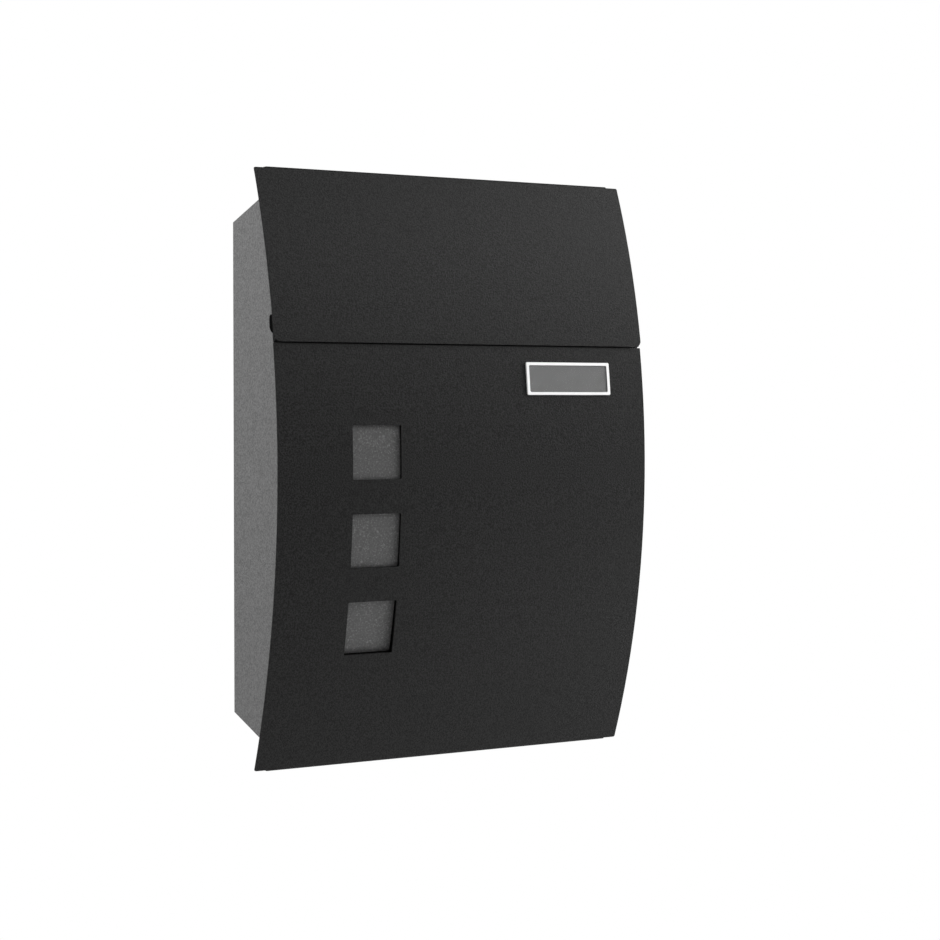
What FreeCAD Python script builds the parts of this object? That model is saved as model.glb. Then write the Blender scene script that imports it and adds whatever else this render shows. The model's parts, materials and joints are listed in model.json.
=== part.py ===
import FreeCAD, Part
import math
import os

# Wall mounted mailbox with a curved front: a lifting letter flap above a side-hinged door.
# Millimetres. The origin is the middle of the back face, which lies on the wall at Y = 0.
# +X is to the right seen from the front, the front faces -Y, and +Z is up.

# Curved front
front_height = 370.0
front_width = 264.0
front_bulge = 36.0
end_depth = 47.0
sheet = 1.2
half_height = front_height / 2
half_width = front_width / 2
door_radius = (front_bulge ** 2 + half_height ** 2) / (2 * front_bulge)
arc_centre_y = door_radius - front_bulge - end_depth
flap_step = 1.5
flap_radius = door_radius + flap_step
flap_inner_radius = flap_radius - sheet
door_inner_radius = door_radius - sheet
door_top_z = 77.3
flap_bottom_z = 78.1
flap_corner_radius = 4.0
door_corner_radius = 0.5
end_corner_radius = 1.0

# Folded flange along the outer end of the flap and of the door
flange_inset = 8.5
flange_rise = 0.8
flange_depth = 7.0
bend_inner_radius = 0.8

# Windows in the door, with one tinted pane behind them
window_size = 33.2
window_x = -65.6
window_heights = (10.9, -43.5, -97.8)
window_corner_radius = 0.6
window_cut_reach = 30.0
pane_thickness = 1.5
pane_width = 46.0
pane_top_z = 36.0
pane_bottom_z = -123.0
pane_standoff = 1.9
pane_radius = 420.0
pane_centre_y = arc_centre_y - door_radius + pane_standoff + pane_radius
gasket_set_back = 0.1
gasket_opening = window_size + 2 * gasket_set_back
retainer_thickness = 0.8
retainer_rear_radius = pane_radius - pane_thickness - retainer_thickness
retainer_width = 62.0
retainer_opening = 37.0
stud_radius = 1.5
stud_offset_x = 27.0
stud_heights = (30.0, -14.0, -72.0, -117.0)
stud_length = 9.0
nut_across_flats = 5.5
nut_thickness = 2.4

# Nameplate on the door
plate_x = 74.0
plate_z = 56.7
plate_width = 62.8
plate_height = 20.9
plate_thickness = 1.2
plate_border = 1.85
plate_rebate = 0.8
plate_lip = 0.4
card_thickness = 0.3
cover_thickness = 0.4
cover_gap = 0.05
plate_corner_radius = 1.0

# Welded sheet body
wall_inset = 6.5
wall_x = half_width - wall_inset
wall_inner_x = wall_x - sheet
wall_gap = 2.0
wall_radius = door_inner_radius - wall_gap
back_half_height = 155.0
side_slope = 0.275
rear_flange = 12.0
drain_hole_radius = 2.5
drain_hole_y = -12.0
drain_hole_places = (-70.0, 0.0, 70.0)
wall_hole_radius = 3.2
wall_hole_spacing_x = 180.0
wall_hole_spacing_z = 240.0

# Fixed header strip across the front, behind the flap's lower edge and above the door
header_set_back = 0.4
header_low_z = flap_bottom_z
header_lip_gap = 0.1
header_high_z = 83.2
header_left_x = -131.0
header_right_x = 131.5

# Flap hinge
flap_axis_y = -48.0
flap_axis_z = 162.0
rod_radius = 2.0
rod_clearance = 0.08
wall_nose_radius = 6.7
ear_radius = 3.6
ear_outer_x = 121.5
ear_thickness = 2.0
ear_foot_width = 14.0
ear_foot_low_z = 140.0
ear_foot_high_z = 160.0
ear_foot_thickness = 1.5

# Fixed plate behind the flap, with the letter slot
plate_front_y = -50.0
plate_low_z = 94.0
plate_high_z = 157.0
plate_half_width = wall_inner_x
plate_lower_flange_y = -37.0
plate_upper_flange_y = -42.0
plate_side_flange_y = -38.0
plate_side_flange_low_z = 102.0
slot_half_width = 108.0
slot_low_z = 124.0
slot_high_z = 151.0
slot_corner_radius = 4.0

# Door hinge
door_axis_x = -wall_x + 5.0
door_axis_y = -42.0
pin_radius = 2.0
eye_radius = 3.4
arm_thickness = 2.0
arm_reach = 36.0
arm_height = 10.0
upper_arm_z = 64.0
lower_arm_z = -150.0
arm_foot_width = 14.0
arm_foot_thickness = 1.5
bush_radius = 3.0
bush_head_radius = 3.6
bush_head_height = 1.0
bush_stand = 1.0
upper_pin_top_z = 97.5
lower_bracket_top_z = -154.0
lower_bracket_thickness = 1.5
lower_bracket_reach = 12.0
lower_bracket_half_depth = 8.0
lower_bracket_leg = 7.5
lower_pin_bottom_z = -158.5

# Door stiffener and catch
rail_left_x = -82.0
rail_right_x = 118.0
rail_leg = 12.0
rail_depth = 9.0
rail_thickness = 1.0
rail_drop = 0.6
catch_width = 24.0
catch_arm_z = 60.0
catch_thickness = 1.5
catch_foot_height = 16.0
catch_top_z = 75.5

# Cam lock
lock_x = 98.0
lock_z = 110.0
lock_head_radius = 11.0
lock_head_height = 2.8
lock_barrel_radius = 9.5
lock_rear_y = -36.0
plug_radius = 6.0
plug_clearance = 0.08
plug_rear_gap = 0.3
keyway_width = 2.0
keyway_height = 8.0
keyway_depth = 13.0
lock_nut_across_flats = 23.0
lock_nut_thickness = 4.0
shank_size = 7.0
shank_length = 2.0
cam_thickness = 2.0
cam_length = 41.0
cam_hub_radius = 8.5
cam_tip_radius = 5.5
cam_washer_radius = 5.5
cam_washer_thickness = 0.8
cam_screw_radius = 2.0
cam_screw_depth = 4.0
cam_screw_across_flats = 8.0
cam_screw_head_height = 2.6
catch_gap = 1.6

# Rubber bumper clips pushed onto the front edges of the side walls
clip_side = 1.0
clip_depth = 13.5
clip_gap = 0.3
clip_corner_radius = 1.8
flap_clip_low_z = 83.5
flap_clip_high_z = 94.8
door_clip_depth = 7.0
door_clip_height = 10.0
door_clip_heights = (40.0, -120.0)

through = 400.0
body_depth_allowance = 100.0
hexagon_sides = 6
diagonal = math.sqrt(0.5)


def vector(x, y, z):
    return FreeCAD.Vector(x, y, z)


def box(low, high):
    size = [b - a for a, b in zip(low, high)]
    return Part.makeBox(size[0], size[1], size[2], vector(*low))


def cylinder(centre, radius, length, direction):
    return Part.makeCylinder(radius, length, vector(*centre), vector(*direction))


def fuse(shapes):
    joined = shapes[0]
    for shape in shapes[1:]:
        joined = joined.fuse(shape)
    return joined.removeSplitter()


def surface_y(radius, z, centre_y=arc_centre_y):
    """Depth at height z of an arc of this radius, by default one that follows the front."""
    return centre_y - math.sqrt(radius ** 2 - z ** 2)


def arc_edge(radius, z_from, z_to, centre_y=arc_centre_y):
    """Edge in the YZ plane along such an arc."""
    heights = (z_from, (z_from + z_to) / 2, z_to)
    points = [vector(0, surface_y(radius, z, centre_y), z) for z in heights]
    return Part.Arc(*points).toShape()


def line_edge(start, end):
    return Part.makeLine(vector(*start), vector(*end))


def extrude_x(edges, x_low, x_high):
    """Solid from a closed outline in the YZ plane, between two X places."""
    face = Part.Face(Part.Wire(Part.__sortEdges__(edges)))
    solid = face.extrude(vector(x_high - x_low, 0, 0))
    solid.translate(vector(x_low, 0, 0))
    return solid


def curved_sheet(outer_radius, inner_radius, z_low, z_high, x_low, x_high, centre_y=arc_centre_y):
    """Sheet between two arcs about one centre, cut level at both ends."""
    ends = [
        [(0, surface_y(radius, z, centre_y), z) for radius in (outer_radius, inner_radius)]
        for z in (z_low, z_high)
    ]
    edges = [
        arc_edge(outer_radius, z_low, z_high, centre_y),
        arc_edge(inner_radius, z_low, z_high, centre_y),
        line_edge(*ends[0]),
        line_edge(*ends[1]),
    ]
    return extrude_x(edges, x_low, x_high)


def front_outline(x_low, x_high, z_low, z_high, low_radius, high_radius):
    """Rounded rectangle seen from the front, as a block that runs through the whole depth."""
    corners = [
        (x_low, z_low, low_radius),
        (x_high, z_low, low_radius),
        (x_high, z_high, high_radius),
        (x_low, z_high, high_radius),
    ]
    edges = []
    starts = []
    ends = []
    turns = [((0, 1), (1, 0)), ((-1, 0), (0, 1)), ((0, -1), (-1, 0)), ((1, 0), (0, -1))]
    for (x, z, radius), (back, ahead) in zip(corners, turns):
        start = vector(x + back[0] * radius, 0, z + back[1] * radius)
        end = vector(x + ahead[0] * radius, 0, z + ahead[1] * radius)
        centre_x = x + (back[0] + ahead[0]) * radius
        centre_z = z + (back[1] + ahead[1]) * radius
        reach = radius * diagonal
        middle = vector(
            centre_x - (back[0] + ahead[0]) * reach, 0, centre_z - (back[1] + ahead[1]) * reach
        )
        edges.append(Part.Arc(start, middle, end).toShape())
        starts.append(start)
        ends.append(end)
    for index, end in enumerate(ends):
        edges.append(Part.makeLine(end, starts[(index + 1) % len(starts)]))
    face = Part.Face(Part.Wire(Part.__sortEdges__(edges)))
    face.translate(vector(0, -through / 2, 0))
    return face.extrude(vector(0, through, 0))


def centred_outline(x, z, width, height, radius):
    return front_outline(
        x - width / 2, x + width / 2, z - height / 2, z + height / 2, radius, radius
    )


def flanged_edges(outer_radius, inner_radius, z_open):
    """Section of a front panel whose upper end is folded back into a level flange."""
    bend_outer = bend_inner_radius + sheet
    bend_z = half_height + flange_rise - bend_outer
    bend_path = inner_radius - bend_inner_radius
    bend_y = surface_y(bend_path, bend_z)
    out_y = (bend_y - arc_centre_y) / bend_path
    out_z = bend_z / bend_path
    middle_length = math.hypot(out_y, out_z + 1)
    middle_y = out_y / middle_length
    middle_z = (out_z + 1) / middle_length

    def bend(radius):
        start = vector(0, bend_y + radius * out_y, bend_z + radius * out_z)
        middle = vector(0, bend_y + radius * middle_y, bend_z + radius * middle_z)
        end = vector(0, bend_y, bend_z + radius)
        return Part.Arc(start, middle, end).toShape()

    flange_end_y = bend_y + flange_depth
    outer_z = bend_z + bend_outer
    inner_z = bend_z + bend_inner_radius
    return [
        arc_edge(outer_radius, z_open, bend_z + bend_outer * out_z),
        bend(bend_outer),
        line_edge((0, bend_y, outer_z), (0, flange_end_y, outer_z)),
        line_edge((0, flange_end_y, outer_z), (0, flange_end_y, inner_z)),
        line_edge((0, flange_end_y, inner_z), (0, bend_y, inner_z)),
        bend(bend_inner_radius),
        arc_edge(inner_radius, z_open, bend_z + bend_inner_radius * out_z),
        line_edge(
            (0, surface_y(outer_radius, z_open), z_open), (0, surface_y(inner_radius, z_open), z_open)
        ),
    ]


def front_panel(outer_radius, z_open, open_corner_radius):
    """Curved panel with its folded end upward and its open end at z_open."""
    inner_radius = outer_radius - sheet
    flange_x = half_width - flange_inset
    edges = flanged_edges(outer_radius, inner_radius, z_open)
    tabs = [
        curved_sheet(outer_radius, inner_radius, z_open, half_height, *span)
        for span in ((-half_width, -flange_x), (flange_x, half_width))
    ]
    panel = fuse([extrude_x(edges, -flange_x, flange_x)] + tabs)
    outline = front_outline(
        -half_width, half_width, z_open, half_height, open_corner_radius, end_corner_radius
    )
    above = box((-flange_x, -through, half_height), (flange_x, through, through))
    return panel.common(outline.fuse(above))


def flap_panel():
    return front_panel(flap_radius, flap_bottom_z, flap_corner_radius)


def window_opening(window_z, size):
    """Cutter for one window, its sides square to the door's sheet, which is cut before bending."""

    def corner(z, reach):
        scale = 1 + reach / door_radius
        depth = surface_y(door_radius, z) - arc_centre_y
        return (0, arc_centre_y + depth * scale, z * scale)

    low_z = window_z - size / 2
    high_z = window_z + size / 2
    corners = [
        corner(low_z, window_cut_reach),
        corner(high_z, window_cut_reach),
        corner(high_z, -window_cut_reach),
        corner(low_z, -window_cut_reach),
    ]
    edges = [line_edge(corners[index - 1], corners[index]) for index in range(len(corners))]
    cutter = extrude_x(edges, window_x - size / 2, window_x + size / 2)
    depth_edges = [
        edge for edge in cutter.Edges if math.isclose(edge.Length, 2 * window_cut_reach)
    ]
    return cutter.makeFillet(window_corner_radius, depth_edges)


def door_panel():
    panel = front_panel(door_radius, -door_top_z, door_corner_radius)
    panel = panel.mirror(vector(0, 0, 0), vector(0, 0, 1))
    for z in window_heights:
        panel = panel.cut(window_opening(z, window_size))
    return panel


def space_behind(radius, z_low, z_high, x_low, x_high):
    """Block that fills everything behind the front's arc of this radius."""
    return curved_sheet(radius, radius - body_depth_allowance, z_low, z_high, x_low, x_high)


def window_pane():
    return curved_sheet(
        pane_radius,
        pane_radius - pane_thickness,
        pane_bottom_z,
        pane_top_z,
        window_x - pane_width / 2,
        window_x + pane_width / 2,
        pane_centre_y,
    )


def pane_gasket():
    """Rubber frame that fills the narrow space between the door's back and the pane."""
    ends = [
        [
            (0, surface_y(door_inner_radius, z), z),
            (0, surface_y(pane_radius, z, pane_centre_y), z),
        ]
        for z in (pane_bottom_z, pane_top_z)
    ]
    edges = [
        arc_edge(door_inner_radius, pane_bottom_z, pane_top_z),
        arc_edge(pane_radius, pane_bottom_z, pane_top_z, pane_centre_y),
        line_edge(*ends[0]),
        line_edge(*ends[1]),
    ]
    gasket = extrude_x(edges, window_x - pane_width / 2, window_x + pane_width / 2)
    for z in window_heights:
        gasket = gasket.cut(window_opening(z, gasket_opening))
    return gasket


def stud_places():
    return [(window_x + side * stud_offset_x, z) for z in stud_heights for side in (-1, 1)]


def pane_retainer():
    retainer = curved_sheet(
        pane_radius - pane_thickness,
        retainer_rear_radius,
        pane_bottom_z,
        pane_top_z,
        window_x - retainer_width / 2,
        window_x + retainer_width / 2,
        pane_centre_y,
    )
    for z in window_heights:
        retainer = retainer.cut(
            centred_outline(window_x, z, retainer_opening, retainer_opening, window_corner_radius)
        )
    for x, z in stud_places():
        retainer = retainer.cut(cylinder((x, -through / 2, z), stud_radius, through, (0, 1, 0)))
    return retainer


def pane_studs():
    behind_panel = space_behind(
        door_inner_radius, pane_bottom_z, pane_top_z, -half_width, half_width
    )
    studs = []
    for x, z in stud_places():
        start_y = surface_y(door_inner_radius, z) - sheet
        stud = cylinder((x, start_y, z), stud_radius, stud_length, (0, 1, 0))
        studs.append(stud.common(behind_panel))
    return Part.makeCompound(studs)


def hexagon(centre, across_flats, length):
    """Hexagonal prism along +Y with two of its flats level."""
    corner_radius = across_flats / math.sqrt(3)
    step = 2 * math.pi / hexagon_sides
    points = [
        vector(
            centre[0] + corner_radius * math.cos(step * index),
            centre[1],
            centre[2] + corner_radius * math.sin(step * index),
        )
        for index in range(hexagon_sides + 1)
    ]
    return Part.Face(Part.makePolygon(points)).extrude(vector(0, length, 0))


def pane_nuts():
    nuts = []
    for x, z in stud_places():
        seat_y = max(
            surface_y(retainer_rear_radius, z + side * nut_across_flats / 2, pane_centre_y)
            for side in (-1, 0, 1)
        )
        nut = hexagon((x, seat_y, z), nut_across_flats, nut_thickness)
        bore = cylinder((x, seat_y, z), stud_radius, nut_thickness, (0, 1, 0))
        nuts.append(nut.cut(bore))
    return Part.makeCompound(nuts)


def nameplate_frame():
    outline = centred_outline(plate_x, plate_z, plate_width, plate_height, plate_corner_radius)
    opening_width = plate_width - 2 * plate_border
    opening_height = plate_height - 2 * plate_border
    low_z = plate_z - plate_height
    high_z = plate_z + plate_height
    span = (plate_x - plate_width, plate_x + plate_width)
    blank = curved_sheet(door_radius + plate_thickness, door_radius, low_z, high_z, *span)
    lip_radius = door_radius + plate_thickness - plate_lip
    pocket = curved_sheet(lip_radius, door_radius - sheet, low_z, high_z, *span)
    pocket = pocket.common(
        centred_outline(
            plate_x,
            plate_z,
            opening_width + 2 * plate_rebate,
            opening_height + 2 * plate_rebate,
            plate_corner_radius,
        )
    )
    opening = centred_outline(
        plate_x, plate_z, opening_width, opening_height, plate_corner_radius
    )
    return blank.common(outline).cut(opening).cut(pocket)


def nameplate_layer(standoff, thickness):
    """Thin leaf lying in the nameplate frame's pocket."""
    width = plate_width - 2 * plate_border + plate_rebate
    height = plate_height - 2 * plate_border + plate_rebate
    leaf = curved_sheet(
        door_radius + standoff + thickness,
        door_radius + standoff,
        plate_z - plate_height,
        plate_z + plate_height,
        plate_x - plate_width,
        plate_x + plate_width,
    )
    return leaf.common(centred_outline(plate_x, plate_z, width, height, end_corner_radius))


def slope_z(y):
    """Height of the body's outer sloping faces above or below the middle, at depth y."""
    return back_half_height - side_slope * y


def side_wall(side):
    """Flat wall with a curved front edge, a rounded nose at the flap hinge and a rear flange."""
    points = [
        (0, 0, -back_half_height),
        (0, -body_depth_allowance, -slope_z(-body_depth_allowance)),
        (0, -body_depth_allowance, slope_z(-body_depth_allowance)),
        (0, 0, back_half_height),
    ]
    edges = [line_edge(points[index - 1], points[index]) for index in range(len(points))]
    wall = extrude_x(edges, wall_inner_x, wall_x).common(
        space_behind(wall_radius, -half_height, half_height, wall_inner_x, wall_x)
    )
    corner = box((0, -through, flap_axis_z), (through, flap_axis_y, through))
    nose = cylinder((0, flap_axis_y, flap_axis_z), wall_nose_radius, through, (1, 0, 0))
    wall = wall.cut(corner.cut(nose))
    wall = wall.cut(cylinder((0, flap_axis_y, flap_axis_z), rod_radius, through, (1, 0, 0)))
    wall = wall.cut(box((0, -sheet, -through), (wall_inner_x, 0, through)))
    flange = box(
        (wall_inner_x - rear_flange, -2 * sheet, -back_half_height + 2 * sheet),
        (wall_inner_x, -sheet, back_half_height - 2 * sheet),
    )
    wall = fuse([wall, flange])
    if side < 0:
        wall = wall.mirror(vector(0, 0, 0), vector(1, 0, 0))
    return wall


def back_panel():
    panel = box(
        (-wall_inner_x, -sheet, -back_half_height), (wall_inner_x, 0, back_half_height)
    )
    for x in (-wall_hole_spacing_x / 2, wall_hole_spacing_x / 2):
        for z in (-wall_hole_spacing_z / 2, wall_hole_spacing_z / 2):
            hole = cylinder((x, -2 * sheet, z), wall_hole_radius, through, (0, 1, 0))
            panel = panel.cut(hole)
    return panel


def sloped_plate():
    """Top plate between the side walls, sloping down towards the wall."""
    rear_y = -sheet
    points = [
        (0, rear_y, slope_z(rear_y)),
        (0, flap_axis_y, slope_z(flap_axis_y)),
        (0, flap_axis_y, slope_z(flap_axis_y) - sheet),
        (0, rear_y, slope_z(rear_y) - sheet),
    ]
    edges = [line_edge(points[index - 1], points[index]) for index in range(len(points))]
    return extrude_x(edges, -wall_inner_x, wall_inner_x)


def bottom_plate():
    plate = sloped_plate().mirror(vector(0, 0, 0), vector(0, 0, 1))
    for x in drain_hole_places:
        hole = cylinder((x, drain_hole_y, -through), drain_hole_radius, through, (0, 0, 1))
        plate = plate.cut(hole)
    return plate


def letter_slot_plate():
    """Fixed plate behind the flap, with flanges all round and holes for letters, lock and bush."""
    rear_y = plate_front_y + sheet
    face = box(
        (-plate_half_width, plate_front_y, plate_low_z), (plate_half_width, rear_y, plate_high_z)
    )
    lower = box(
        (-plate_half_width, rear_y, plate_low_z),
        (plate_half_width, plate_lower_flange_y, plate_low_z + sheet),
    )
    upper_half_width = ear_outer_x - ear_foot_width
    upper = box(
        (-upper_half_width, rear_y, plate_high_z - sheet),
        (upper_half_width, plate_upper_flange_y, plate_high_z),
    )
    sides = [
        box(
            (min(side * plate_half_width, side * (plate_half_width - sheet)), rear_y,
             plate_side_flange_low_z),
            (max(side * plate_half_width, side * (plate_half_width - sheet)), plate_side_flange_y,
             plate_high_z),
        )
        for side in (-1, 1)
    ]
    plate = fuse([face, lower, upper] + sides)
    slot = front_outline(
        -slot_half_width, slot_half_width, slot_low_z, slot_high_z,
        slot_corner_radius, slot_corner_radius,
    )
    plate = plate.cut(slot.common(box((-through, -through, 0), (through, rear_y, through))))
    plate = plate.cut(
        cylinder((lock_x, plate_front_y, lock_z), lock_barrel_radius, sheet, (0, 1, 0))
    )
    bush_hole = cylinder(
        (door_axis_x, door_axis_y, plate_low_z), bush_radius, sheet, (0, 0, 1)
    )
    return plate.cut(bush_hole)


def door_header():
    """Strip folded double across the front, its rear leg on the side walls' front edges."""
    face_radius = door_radius - header_set_back
    spans = [
        (face_radius, face_radius - sheet, header_low_z),
        (wall_radius + sheet, wall_radius, door_top_z + header_lip_gap),
        (face_radius, wall_radius, header_high_z - sheet),
    ]
    return fuse(
        [
            curved_sheet(outer, inner, low_z, header_high_z, header_left_x, header_right_x)
            for outer, inner, low_z in spans
        ]
    )


def flap_hinge_rod():
    return cylinder((-wall_x, flap_axis_y, flap_axis_z), rod_radius, 2 * wall_x, (1, 0, 0))


def flap_ear(side):
    """Bracket on the flap's back, with an ear that turns on the hinge rod."""
    inner_x = ear_outer_x - ear_thickness
    foot_inner_x = ear_outer_x - ear_foot_width
    foot = curved_sheet(
        flap_inner_radius,
        flap_inner_radius - ear_foot_thickness,
        ear_foot_low_z,
        ear_foot_high_z,
        foot_inner_x,
        ear_outer_x,
    )
    root_low_z = (ear_foot_low_z + ear_foot_high_z) / 2
    points = [
        (0, flap_axis_y, flap_axis_z + ear_radius),
        (0, surface_y(flap_inner_radius, ear_foot_high_z), ear_foot_high_z),
        (0, surface_y(flap_inner_radius, root_low_z), root_low_z),
        (0, flap_axis_y + ear_radius, flap_axis_z),
    ]
    edges = [line_edge(points[index - 1], points[index]) for index in range(len(points))]
    web = extrude_x(edges, inner_x, ear_outer_x)
    knuckle = cylinder((inner_x, flap_axis_y, flap_axis_z), ear_radius, ear_thickness, (1, 0, 0))
    inside = space_behind(flap_inner_radius, flap_bottom_z, half_height, inner_x, ear_outer_x)
    web = web.common(inside)
    ear = fuse([foot, web, knuckle])
    bore = cylinder(
        (inner_x, flap_axis_y, flap_axis_z), rod_radius + rod_clearance, ear_thickness, (1, 0, 0)
    )
    ear = ear.cut(bore)
    if side < 0:
        ear = ear.mirror(vector(0, 0, 0), vector(1, 0, 0))
    return ear


def hinge_arm(low_z):
    """Bent arm from a rolled eye on the hinge pin, round to a foot on the door's back."""
    high_z = low_z + arm_height
    leg_x = door_axis_x + arm_reach
    half = arm_thickness / 2
    cross = box(
        (door_axis_x, door_axis_y - half, low_z), (leg_x + half, door_axis_y + half, high_z)
    )
    leg = box((leg_x - half, -through / 2, low_z), (leg_x + half, door_axis_y + half, high_z))
    foot = curved_sheet(
        door_inner_radius,
        door_inner_radius - arm_foot_thickness,
        low_z,
        high_z,
        leg_x - arm_foot_width,
        leg_x + half,
    )
    inside = space_behind(door_inner_radius, low_z, high_z, -half_width, half_width)
    eye = cylinder((door_axis_x, door_axis_y, low_z), eye_radius, arm_height, (0, 0, 1))
    bore = cylinder((door_axis_x, door_axis_y, low_z), pin_radius, arm_height, (0, 0, 1))
    return fuse([cross, leg.common(inside), foot, eye]).cut(bore)


def hinge_pin(low_z, high_z):
    return cylinder((door_axis_x, door_axis_y, low_z), pin_radius, high_z - low_z, (0, 0, 1))


def hinge_bush(seat_z, sheet_thickness):
    """Headed bush that stands up through a sheet whose lower face is at seat_z."""
    head = cylinder(
        (door_axis_x, door_axis_y, seat_z - bush_head_height), bush_head_radius,
        bush_head_height, (0, 0, 1),
    )
    sleeve = cylinder(
        (door_axis_x, door_axis_y, seat_z), bush_radius, sheet_thickness + bush_stand, (0, 0, 1)
    )
    bore = cylinder(
        (door_axis_x, door_axis_y, seat_z - through / 2), pin_radius + rod_clearance,
        through, (0, 0, 1),
    )
    return head.fuse(sleeve).removeSplitter().cut(bore)


def lower_hinge_bracket():
    low_z = lower_bracket_top_z - lower_bracket_thickness
    near_y = door_axis_y - lower_bracket_half_depth
    far_y = door_axis_y + lower_bracket_half_depth
    shelf = box(
        (-wall_inner_x, near_y, low_z),
        (-wall_inner_x + lower_bracket_reach, far_y, lower_bracket_top_z),
    )
    leg = box(
        (-wall_inner_x, near_y, low_z - lower_bracket_leg),
        (-wall_inner_x + lower_bracket_thickness, far_y, low_z),
    )
    bore = cylinder(
        (door_axis_x, door_axis_y, low_z - lower_bracket_leg), bush_radius,
        lower_bracket_leg + lower_bracket_thickness, (0, 0, 1),
    )
    return fuse([shelf, leg]).cut(bore)


def lower_bush():
    """The same bush turned head up, in the lower bracket."""
    bush = hinge_bush(0, lower_bracket_thickness)
    bush = bush.mirror(vector(0, 0, 0), vector(0, 0, 1))
    bush.translate(vector(0, 0, lower_bracket_top_z))
    return bush


def door_top_rail():
    """Angle strip that stiffens the door's upper edge."""
    high_z = door_top_z - rail_drop
    rear_radius = door_inner_radius - rail_thickness
    leg = curved_sheet(
        door_inner_radius, rear_radius, high_z - rail_leg, high_z, rail_left_x, rail_right_x
    )
    shelf = box(
        (rail_left_x, -through / 2, high_z - rail_thickness),
        (rail_right_x, surface_y(door_inner_radius, high_z) + rail_depth, high_z),
    )
    inside = space_behind(
        door_inner_radius, high_z - rail_leg, high_z, rail_left_x, rail_right_x
    )
    return fuse([leg, shelf.common(inside)])


def door_catch():
    """Hooked strip on the door's back that the lock's cam stands in front of."""
    low_x = lock_x - catch_width / 2
    high_x = lock_x + catch_width / 2
    arm_top_z = catch_arm_z + catch_thickness
    hook_y = cam_front_y() + cam_thickness + catch_gap
    foot = curved_sheet(
        door_inner_radius,
        door_inner_radius - catch_thickness,
        arm_top_z - catch_foot_height,
        arm_top_z,
        low_x,
        high_x,
    )
    arm = box((low_x, -through / 2, catch_arm_z), (high_x, hook_y + catch_thickness, arm_top_z))
    inside = space_behind(door_inner_radius, catch_arm_z, arm_top_z, low_x, high_x)
    hook = box((low_x, hook_y, catch_arm_z), (high_x, hook_y + catch_thickness, catch_top_z))
    return fuse([foot, arm.common(inside), hook])


def lock_axis(y):
    return (lock_x, y, lock_z)


def lock_housing():
    head_y = plate_front_y - lock_head_height
    head = cylinder(lock_axis(head_y), lock_head_radius, lock_head_height, (0, 1, 0))
    barrel = cylinder(
        lock_axis(plate_front_y), lock_barrel_radius, lock_rear_y - plate_front_y, (0, 1, 0)
    )
    bore = cylinder(
        lock_axis(-through / 2), plug_radius + plug_clearance, through, (0, 1, 0)
    )
    return fuse([head, barrel]).cut(bore)


def lock_nut():
    seat_y = plate_front_y + sheet
    nut = hexagon(lock_axis(seat_y), lock_nut_across_flats, lock_nut_thickness)
    return nut.cut(cylinder(lock_axis(seat_y), lock_barrel_radius, lock_nut_thickness, (0, 1, 0)))


def cam_front_y():
    return lock_rear_y + plug_rear_gap


def square_prism(size, y_low, y_high):
    return box(
        (lock_x - size / 2, y_low, lock_z - size / 2), (lock_x + size / 2, y_high, lock_z + size / 2)
    )


def lock_plug():
    front_y = plate_front_y - lock_head_height
    shank_front_y = cam_front_y()
    shank_rear_y = shank_front_y + shank_length
    plug = cylinder(lock_axis(front_y), plug_radius, shank_front_y - front_y, (0, 1, 0))
    shank = square_prism(shank_size, shank_front_y, shank_rear_y)
    keyway = box(
        (lock_x - keyway_width / 2, front_y, lock_z - keyway_height / 2),
        (lock_x + keyway_width / 2, front_y + keyway_depth, lock_z + keyway_height / 2),
    )
    thread = cylinder(
        lock_axis(shank_rear_y - cam_screw_depth), cam_screw_radius, cam_screw_depth, (0, 1, 0)
    )
    return fuse([plug, shank]).cut(keyway).cut(thread)


def lock_cam():
    """Tapered cam, turned to the left when the lock is open."""
    front_y = cam_front_y()
    tip_x = lock_x - cam_length + cam_tip_radius
    hub = cylinder(lock_axis(front_y), cam_hub_radius, cam_thickness, (0, 1, 0))
    tip = cylinder((tip_x, front_y, lock_z), cam_tip_radius, cam_thickness, (0, 1, 0))
    lean = math.asin((cam_hub_radius - cam_tip_radius) / (lock_x - tip_x))
    across = math.cos(lean)
    along = -math.sin(lean)
    corners = [
        (lock_x + cam_hub_radius * along, lock_z + cam_hub_radius * across),
        (tip_x + cam_tip_radius * along, lock_z + cam_tip_radius * across),
        (tip_x + cam_tip_radius * along, lock_z - cam_tip_radius * across),
        (lock_x + cam_hub_radius * along, lock_z - cam_hub_radius * across),
    ]
    points = [vector(x, front_y, z) for x, z in corners + corners[:1]]
    web = Part.Face(Part.makePolygon(points)).extrude(vector(0, cam_thickness, 0))
    hole = square_prism(shank_size, front_y, front_y + cam_thickness)
    return fuse([hub, web, tip]).cut(hole)


def cam_washer():
    seat_y = cam_front_y() + cam_thickness
    washer = cylinder(lock_axis(seat_y), cam_washer_radius, cam_washer_thickness, (0, 1, 0))
    hole = cylinder(lock_axis(seat_y), cam_screw_radius, cam_washer_thickness, (0, 1, 0))
    return washer.cut(hole)


def cam_screw():
    seat_y = cam_front_y() + cam_thickness + cam_washer_thickness
    head = hexagon(lock_axis(seat_y), cam_screw_across_flats, cam_screw_head_height)
    start_y = cam_front_y() + shank_length - cam_screw_depth
    thread = cylinder(lock_axis(start_y), cam_screw_radius, seat_y - start_y, (0, 1, 0))
    return fuse([head, thread])


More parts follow.
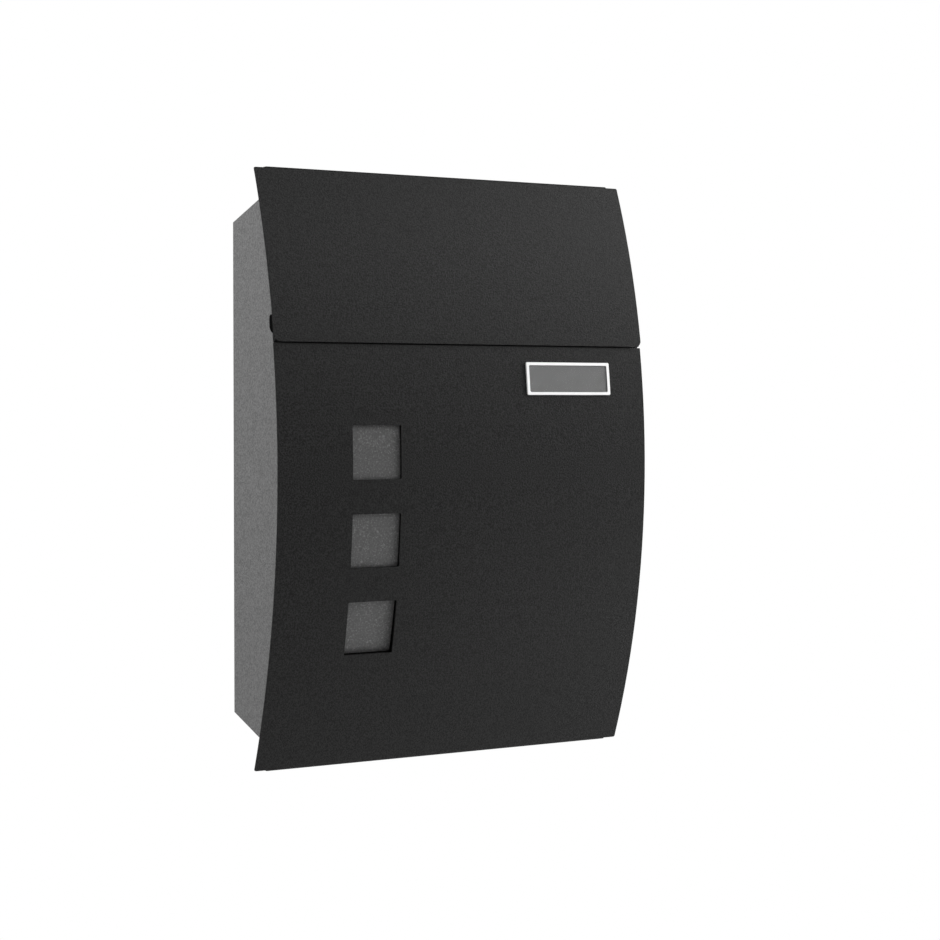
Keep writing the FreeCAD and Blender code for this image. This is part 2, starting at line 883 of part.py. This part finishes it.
def edge_clip(side, nose_radius, depth, z_low, z_high):
    """Rubber clip astride a side wall's front edge, with its nose towards the closed panel."""
    edge_y = surface_y(wall_radius, (z_low + z_high) / 2)
    outer = space_behind(
        nose_radius, z_low, z_high, wall_inner_x - clip_side, wall_x + clip_side
    )
    rounded = clip_side_outline(edge_y + depth, z_low, z_high)
    wall_room = space_behind(wall_radius, z_low, z_high, wall_inner_x, wall_x)
    clip = outer.common(rounded).cut(wall_room)
    if side < 0:
        clip = clip.mirror(vector(0, 0, 0), vector(1, 0, 0))
    return clip


def clip_side_outline(rear_y, z_low, z_high):
    """Side view of a clip: a round upper rear corner and a long curve towards the front below."""
    curve_z = (z_low + z_high) / 2
    front_y = -through / 2
    corner_y = rear_y - clip_corner_radius
    corner_z = z_high - clip_corner_radius
    top_arc = Part.Arc(
        vector(0, corner_y, z_high),
        vector(
            0,
            corner_y + clip_corner_radius * diagonal,
            corner_z + clip_corner_radius * diagonal,
        ),
        vector(0, rear_y, corner_z),
    ).toShape()
    sweep = curve_z - z_low
    low_arc = Part.Arc(
        vector(0, rear_y, curve_z),
        vector(0, rear_y - sweep * (1 - diagonal), curve_z - sweep * diagonal),
        vector(0, rear_y - sweep, z_low),
    ).toShape()
    edges = [
        top_arc,
        line_edge((0, rear_y, corner_z), (0, rear_y, curve_z)),
        low_arc,
        line_edge((0, rear_y - sweep, z_low), (0, front_y, z_low)),
        line_edge((0, front_y, z_low), (0, front_y, z_high)),
        line_edge((0, front_y, z_high), (0, corner_y, z_high)),
    ]
    return extrude_x(edges, -through / 2, through / 2)


def flap_bumpers():
    nose = flap_inner_radius - clip_gap
    return Part.makeCompound(
        [
            edge_clip(side, nose, clip_depth, flap_clip_low_z, flap_clip_high_z)
            for side in (-1, 1)
        ]
    )


def door_bumpers():
    nose = door_inner_radius - clip_gap
    return Part.makeCompound(
        [
            edge_clip(1, nose, door_clip_depth, z, z + door_clip_height)
            for z in door_clip_heights
        ]
    )


def build():
    return {
        "back_panel": back_panel(),
        "left_side_wall": side_wall(-1),
        "right_side_wall": side_wall(1),
        "top_plate": sloped_plate(),
        "bottom_plate": bottom_plate(),
        "letter_slot_plate": letter_slot_plate(),
        "door_header": door_header(),
        "flap_hinge_rod": flap_hinge_rod(),
        "upper_hinge_bush": hinge_bush(plate_low_z, sheet),
        "lower_hinge_bush": lower_bush(),
        "lower_hinge_bracket": lower_hinge_bracket(),
        "flap_bumpers": flap_bumpers(),
        "door_bumpers": door_bumpers(),
        "lock_housing": lock_housing(),
        "lock_nut": lock_nut(),
        "flap_panel": flap_panel(),
        "left_flap_ear": flap_ear(-1),
        "right_flap_ear": flap_ear(1),
        "door_panel": door_panel(),
        "door_top_rail": door_top_rail(),
        "door_catch": door_catch(),
        "upper_hinge_arm": hinge_arm(upper_arm_z),
        "lower_hinge_arm": hinge_arm(lower_arm_z),
        "upper_hinge_pin": hinge_pin(upper_arm_z, upper_pin_top_z),
        "lower_hinge_pin": hinge_pin(lower_pin_bottom_z, lower_arm_z + arm_height),
        "window_pane": window_pane(),
        "pane_gasket": pane_gasket(),
        "pane_retainer": pane_retainer(),
        "pane_studs": pane_studs(),
        "pane_nuts": pane_nuts(),
        "nameplate_frame": nameplate_frame(),
        "nameplate_card": nameplate_layer(0, card_thickness),
        "nameplate_cover": nameplate_layer(card_thickness + cover_gap, cover_thickness),
        "lock_plug": lock_plug(),
        "lock_cam": lock_cam(),
        "cam_washer": cam_washer(),
        "cam_screw": cam_screw(),
    }


os.makedirs("parts", exist_ok=True)
for name, shape in build().items():
    shape.exportStep("parts/%s.step" % name)
    print(name, len(shape.Solids), round(shape.Volume, 1), shape.isValid())
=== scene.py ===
import json
import math

import bpy
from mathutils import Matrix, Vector


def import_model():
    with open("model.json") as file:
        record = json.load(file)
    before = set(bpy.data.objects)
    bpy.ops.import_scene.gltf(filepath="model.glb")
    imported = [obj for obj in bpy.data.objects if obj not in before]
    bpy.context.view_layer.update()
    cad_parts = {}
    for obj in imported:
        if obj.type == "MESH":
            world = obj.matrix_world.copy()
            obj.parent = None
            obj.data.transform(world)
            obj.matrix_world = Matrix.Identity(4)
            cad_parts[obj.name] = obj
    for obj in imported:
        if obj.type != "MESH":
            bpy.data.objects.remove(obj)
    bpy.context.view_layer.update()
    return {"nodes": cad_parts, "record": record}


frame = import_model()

nodes = frame["nodes"]

# Lengths are in metres, angles in degrees and light powers in watts.
# Noise scales are in cells per metre.

# Camera
EYE = Vector((-0.6352, -1.2062, 0.0424))
VIEW_AZIMUTH = -29.854
VIEW_ELEVATION = 1.361
SENSOR_WIDTH = 36.0
LENS = 78.68
SHIFT_X = -0.0148
SHIFT_Y = -0.0216

# Studio
FLOOR_Z = -0.62
FLOOR_HALF = 12.0
FLOOR_GREY = 0.85
FLOOR_ROUGHNESS = 0.9
WORLD_STRENGTH = 0.27
SOFT_BOXES = (
    # name, azimuth, elevation, distance, size, power
    ("front_top_box", 10.0, 38.0, 1.6, 0.9, 6.0),
    ("right_box", 75.0, 12.0, 1.2, 0.7, 6.3),
    ("right_low_box", 60.0, -25.0, 1.2, 0.7, 6.3),
    ("right_high_box", 62.0, 35.0, 1.4, 0.8, 10.0),
    ("left_back_box", -105.0, 40.0, 1.4, 0.8, 19.0),
)

# Edges of the CAD pieces
HOLED_SHEETS = {
    "back_panel",
    "left_side_wall",
    "right_side_wall",
    "bottom_plate",
    "letter_slot_plate",
    "pane_retainer",
}
EDGE_SOFTNESS = 0.0002
EDGE_SEGMENTS = 2
EDGE_ANGLE = 35.0
WELD_DISTANCE = 0.000005
FLAT_FACE_WEIGHT = 100

WHITE = (1.0, 1.0, 1.0, 1.0)

# Noise values at which a material reaches its first and last value, unless it names its own
NOISE_LOW = 0.3
NOISE_HIGH = 0.7
NEW_STOP_PLACE = 0.5

# Powder coat
GRIT_SCALE = 1000.0
GRIT_DETAIL = 2.0
GRIT_BREAKUP = 0.7
GRIT_RAMP = (0.40, 0.50, 0.60)
GRIT_HEIGHT = 0.0004
GRIT_FINE_SCALE = 2600.0
GRIT_FINE_BREAKUP = 0.6
GRIT_FINE_HEIGHT = 0.0002
GRIT_STRENGTH = 0.5
COAT_ROUGHNESS_SPREAD = 0.08

# Zinc plating
SPANGLE_SCALE = 420.0
SPANGLE_COLOURS = ((0.50, 0.51, 0.53), (0.68, 0.68, 0.67))
SCRATCH_SCALE = 1800.0
SCRATCH_DETAIL = 4.0
SCRATCH_BREAKUP = 0.6
SCRATCH_HEIGHT = 0.00005
SCRATCH_STRENGTH = 0.2
ZINC_ROUGHNESS = (0.28, 0.44)

# Nickel plating
RIPPLE_SCALE = 260.0
RIPPLE_RAMP = (0.2, 0.8)
RIPPLE_COLOURS = ((0.66, 0.65, 0.62), (0.76, 0.75, 0.72))
RIPPLE_HEIGHT = 0.0001
RIPPLE_STRENGTH = 0.1
NICKEL_ROUGHNESS = (0.10, 0.20)

# Moulded plastic and rubber
MOULD_SCALE = 700.0
MOULD_DETAIL = 3.0
MOULD_HEIGHT = 0.0001
MOULD_STRENGTH = 0.08
MOULD_ROUGHNESS_SPREAD = 0.05

# Window pane
SPECKLE_SCALE = 900.0
SPECKLE_DETAIL = 3.0
SPECKLE_BREAKUP = 0.65
SPECKLE_STOPS = ((0.30, 0.0375), (0.55, 0.0635), (0.74, 0.16))
SPECKLE_HEIGHT = 0.00025
SPECKLE_STRENGTH = 0.35
PANE_FROST_SCALE = 1900.0
PANE_ROUGHNESS = (0.42, 0.58)

# Nameplate
FIBRE_SCALE = 1400.0
FIBRE_DETAIL = 5.0
FIBRE_BREAKUP = 0.7
CARD_GREYS = (0.197, 0.211)
CARD_ROUGHNESS = (0.80, 0.90)
HAZE_SCALE = 120.0
COVER_GREYS = (0.94, 0.98)
COVER_ROUGHNESS = (0.04, 0.09)
COVER_IOR = 1.1


def new_material(name):
    """A material with an empty node tree but for its Principled shader."""
    material = bpy.data.materials.new(name)
    material.use_nodes = True
    tree = material.node_tree
    shader = next(n for n in tree.nodes if n.type == "BSDF_PRINCIPLED")
    return material, tree, shader


def link(tree, source, target):
    tree.links.new(source, target)


def object_place(tree):
    return tree.nodes.new("ShaderNodeTexCoord").outputs["Object"]


def noise(tree, place, scale, detail=2.0, breakup=0.5):
    node = tree.nodes.new("ShaderNodeTexNoise")
    node.inputs["Scale"].default_value = scale
    node.inputs["Detail"].default_value = detail
    node.inputs["Roughness"].default_value = breakup
    link(tree, place, node.inputs["Vector"])
    return node.outputs["Fac"]


def ramp(tree, value, stops):
    """Colour ramp from (position, grey or colour) stops."""
    node = tree.nodes.new("ShaderNodeValToRGB")
    while len(node.color_ramp.elements) < len(stops):
        node.color_ramp.elements.new(NEW_STOP_PLACE)
    for element, (position, colour) in zip(node.color_ramp.elements, stops):
        element.position = position
        rgb = colour if isinstance(colour, tuple) else (colour,) * 3
        element.color = (*rgb, 1.0)
    link(tree, value, node.inputs["Fac"])
    return node.outputs["Color"]


def vary(tree, value, socket, pair, places=(NOISE_LOW, NOISE_HIGH)):
    """Let a noise move a shader's socket between two values or colours."""
    link(tree, ramp(tree, value, list(zip(places, pair))), socket)


def around(middle, spread):
    return middle - spread, middle + spread


def bump(tree, height, distance, strength, below=None):
    node = tree.nodes.new("ShaderNodeBump")
    node.inputs["Distance"].default_value = distance
    node.inputs["Strength"].default_value = strength
    link(tree, height, node.inputs["Height"])
    if below is not None:
        link(tree, below, node.inputs["Normal"])
    return node.outputs["Normal"]


def powder_coat(name, dark, light, roughness, specular):
    """Sand-textured powder coat: rounded grains about a millimetre across, with pits between."""
    material, tree, shader = new_material(name)
    place = object_place(tree)
    grit = noise(tree, place, GRIT_SCALE, GRIT_DETAIL, GRIT_BREAKUP)
    fine = noise(tree, place, GRIT_FINE_SCALE, GRIT_DETAIL, GRIT_FINE_BREAKUP)
    greys = (dark, (dark + light) / 2, light)
    vary(tree, grit, shader.inputs["Base Color"], greys, GRIT_RAMP)
    vary(tree, fine, shader.inputs["Roughness"], around(roughness, COAT_ROUGHNESS_SPREAD))
    grains = bump(tree, grit, GRIT_HEIGHT, GRIT_STRENGTH)
    link(tree, bump(tree, fine, GRIT_FINE_HEIGHT, GRIT_STRENGTH, grains), shader.inputs["Normal"])
    shader.inputs["Specular IOR Level"].default_value = specular
    return material


def zinc(name):
    """Zinc plating: faint spangle and fine scratches."""
    material, tree, shader = new_material(name)
    place = object_place(tree)
    spangle = tree.nodes.new("ShaderNodeTexVoronoi")
    spangle.inputs["Scale"].default_value = SPANGLE_SCALE
    link(tree, place, spangle.inputs["Vector"])
    vary(tree, spangle.outputs["Color"], shader.inputs["Base Color"], SPANGLE_COLOURS, (0.0, 1.0))
    scratch = noise(tree, place, SCRATCH_SCALE, SCRATCH_DETAIL, SCRATCH_BREAKUP)
    vary(tree, scratch, shader.inputs["Roughness"], ZINC_ROUGHNESS)
    link(tree, bump(tree, scratch, SCRATCH_HEIGHT, SCRATCH_STRENGTH), shader.inputs["Normal"])
    shader.inputs["Metallic"].default_value = 1.0
    return material


def nickel(name):
    """Nickel plating on the lock: smooth, with a faint cast ripple."""
    material, tree, shader = new_material(name)
    ripple = noise(tree, object_place(tree), RIPPLE_SCALE)
    vary(tree, ripple, shader.inputs["Base Color"], RIPPLE_COLOURS, RIPPLE_RAMP)
    vary(tree, ripple, shader.inputs["Roughness"], NICKEL_ROUGHNESS)
    link(tree, bump(tree, ripple, RIPPLE_HEIGHT, RIPPLE_STRENGTH), shader.inputs["Normal"])
    shader.inputs["Metallic"].default_value = 1.0
    return material


def moulded(name, dark, light, roughness, specular=0.5):
    """Moulded plastic or rubber with a light surface grain."""
    material, tree, shader = new_material(name)
    grain = noise(tree, object_place(tree), MOULD_SCALE, MOULD_DETAIL)
    vary(tree, grain, shader.inputs["Base Color"], (dark, light))
    vary(tree, grain, shader.inputs["Roughness"], around(roughness, MOULD_ROUGHNESS_SPREAD))
    link(tree, bump(tree, grain, MOULD_HEIGHT, MOULD_STRENGTH), shader.inputs["Normal"])
    shader.inputs["Specular IOR Level"].default_value = specular
    return material


def speckled_acrylic(name):
    """Frosted grey acrylic with a speckled face."""
    material, tree, shader = new_material(name)
    place = object_place(tree)
    speckle = noise(tree, place, SPECKLE_SCALE, SPECKLE_DETAIL, SPECKLE_BREAKUP)
    frost = noise(tree, place, PANE_FROST_SCALE)
    link(tree, ramp(tree, speckle, SPECKLE_STOPS), shader.inputs["Base Color"])
    vary(tree, frost, shader.inputs["Roughness"], PANE_ROUGHNESS)
    link(tree, bump(tree, speckle, SPECKLE_HEIGHT, SPECKLE_STRENGTH), shader.inputs["Normal"])
    return material


def card(name):
    """Plain grey card with a faint paper fibre."""
    material, tree, shader = new_material(name)
    fibre = noise(tree, object_place(tree), FIBRE_SCALE, FIBRE_DETAIL, FIBRE_BREAKUP)
    vary(tree, fibre, shader.inputs["Base Color"], CARD_GREYS)
    vary(tree, fibre, shader.inputs["Roughness"], CARD_ROUGHNESS)
    return material


def clear_leaf(name):
    """Clear acrylic leaf over the card."""
    material, tree, shader = new_material(name)
    haze = noise(tree, object_place(tree), HAZE_SCALE)
    vary(tree, haze, shader.inputs["Base Color"], COVER_GREYS)
    vary(tree, haze, shader.inputs["Roughness"], COVER_ROUGHNESS)
    shader.inputs["Transmission Weight"].default_value = 1.0
    shader.inputs["IOR"].default_value = COVER_IOR
    return material


def slot_materials():
    """One material for each material slot of the record."""
    return {
        "front_paint": powder_coat(
            "black_powder_coat", dark=0.0, light=0.0125, roughness=0.52, specular=0.18
        ),
        "body_paint": powder_coat(
            "grey_powder_coat", dark=0.097, light=0.169, roughness=0.62, specular=0.3
        ),
        "zinc_steel": zinc("zinc_plating"),
        "lock_chrome": nickel("nickel_plating"),
        "tinted_pane": speckled_acrylic("pane_acrylic"),
        "frame_white": moulded("white_plastic", dark=0.88, light=0.92, roughness=0.35),
        "name_card": card("grey_card"),
        "clear_cover": clear_leaf("clear_acrylic"),
        # Black rubber for the flap clips and window gaskets, partly painted shade: its colour and
        # sheen are set near zero so these pieces show the black of deep shade at the window edges
        # and beside the flap's lower corner.
        "rubber_black": moulded(
            "black_rubber_and_painted_shade", dark=0.001, light=0.003, roughness=0.85, specular=0.02
        ),
        "nylon": moulded("natural_nylon", dark=0.62, light=0.68, roughness=0.45),
    }


def soften_edges(node):
    """Break the sharp edges of a piece with a fine bevel."""
    weld = node.modifiers.new("joined_faces", "WELD")
    weld.merge_threshold = WELD_DISTANCE
    bevel = node.modifiers.new("broken_edges", "BEVEL")
    bevel.width = EDGE_SOFTNESS
    bevel.segments = EDGE_SEGMENTS
    bevel.limit_method = "ANGLE"
    bevel.angle_limit = math.radians(EDGE_ANGLE)
    shading = node.modifiers.new("flat_face_shading", "WEIGHTED_NORMAL")
    shading.mode = "FACE_AREA"
    shading.weight = FLAT_FACE_WEIGHT


def dress_nodes():
    """Every CAD node gets its slot's material, and broken edges unless it is a sheet with holes."""
    materials = slot_materials()
    for entry in frame["record"]["subparts"]:
        node = nodes[entry["node"]]
        for material_slot in node.material_slots:
            material_slot.material = materials[entry["material_slot"]]
        if entry["node"] not in HOLED_SHEETS:
            soften_edges(node)


def shown_white(tree, shader_output, output_type):
    """The camera sees plain white, and everything else sees the given shader."""
    rays = tree.nodes.new("ShaderNodeLightPath")
    white = tree.nodes.new("ShaderNodeEmission")
    white.inputs["Strength"].default_value = 1.0
    pick = tree.nodes.new("ShaderNodeMixShader")
    output = next(n for n in tree.nodes if n.type == output_type)
    link(tree, rays.outputs["Is Camera Ray"], pick.inputs["Fac"])
    link(tree, shader_output, pick.inputs[1])
    link(tree, white.outputs["Emission"], pick.inputs[2])
    link(tree, pick.outputs["Shader"], output.inputs["Surface"])


def floor():
    """Pale floor that the camera sees as white."""
    mesh = bpy.data.meshes.new("studio_floor")
    corners = [
        (x * FLOOR_HALF, y * FLOOR_HALF, FLOOR_Z) for x, y in ((-1, -1), (1, -1), (1, 1), (-1, 1))
    ]
    mesh.from_pydata(corners, [], [(0, 1, 2, 3)])
    piece = bpy.data.objects.new("studio_floor", mesh)
    bpy.context.scene.collection.objects.link(piece)
    material, tree, shader = new_material("studio_floor")
    shader.inputs["Base Color"].default_value = (FLOOR_GREY, FLOOR_GREY, FLOOR_GREY, 1.0)
    shader.inputs["Roughness"].default_value = FLOOR_ROUGHNESS
    shown_white(tree, shader.outputs["BSDF"], "OUTPUT_MATERIAL")
    mesh.materials.append(material)


def world():
    """Even pale light from all around, which the camera sees as white."""
    sky = bpy.data.worlds.new("studio_world")
    bpy.context.scene.world = sky
    sky.use_nodes = True
    tree = sky.node_tree
    background = next(n for n in tree.nodes if n.type == "BACKGROUND")
    background.inputs["Color"].default_value = WHITE
    background.inputs["Strength"].default_value = WORLD_STRENGTH
    shown_white(tree, background.outputs["Background"], "OUTPUT_WORLD")


def soft_light(name, azimuth, elevation, distance, size, power):
    """Square soft box that faces the object, placed by its compass angle and height."""
    turn = math.radians(azimuth)
    lift = math.radians(elevation)
    away = Vector(
        (math.sin(turn) * math.cos(lift), -math.cos(turn) * math.cos(lift), math.sin(lift))
    )
    lamp = bpy.data.lights.new(name, "AREA")
    lamp.shape = "SQUARE"
    lamp.size = size
    lamp.energy = power
    holder = bpy.data.objects.new(name, lamp)
    holder.location = away * distance
    holder.rotation_mode = "QUATERNION"
    holder.rotation_quaternion = (-away).to_track_quat("-Z", "Y")
    bpy.context.scene.collection.objects.link(holder)


def camera():
    data = bpy.data.cameras.new("camera")
    data.lens = LENS
    data.sensor_width = SENSOR_WIDTH
    data.shift_x = SHIFT_X
    data.shift_y = SHIFT_Y
    eye = bpy.data.objects.new("camera", data)
    eye.location = EYE
    eye.rotation_euler = (math.radians(90.0 - VIEW_ELEVATION), 0.0, math.radians(VIEW_AZIMUTH))
    bpy.context.scene.collection.objects.link(eye)
    bpy.context.scene.camera = eye


def studio():
    bpy.context.scene.view_settings.view_transform = "Standard"
    camera()
    floor()
    world()
    for soft_box in SOFT_BOXES:
        soft_light(*soft_box)


dress_nodes()
studio()
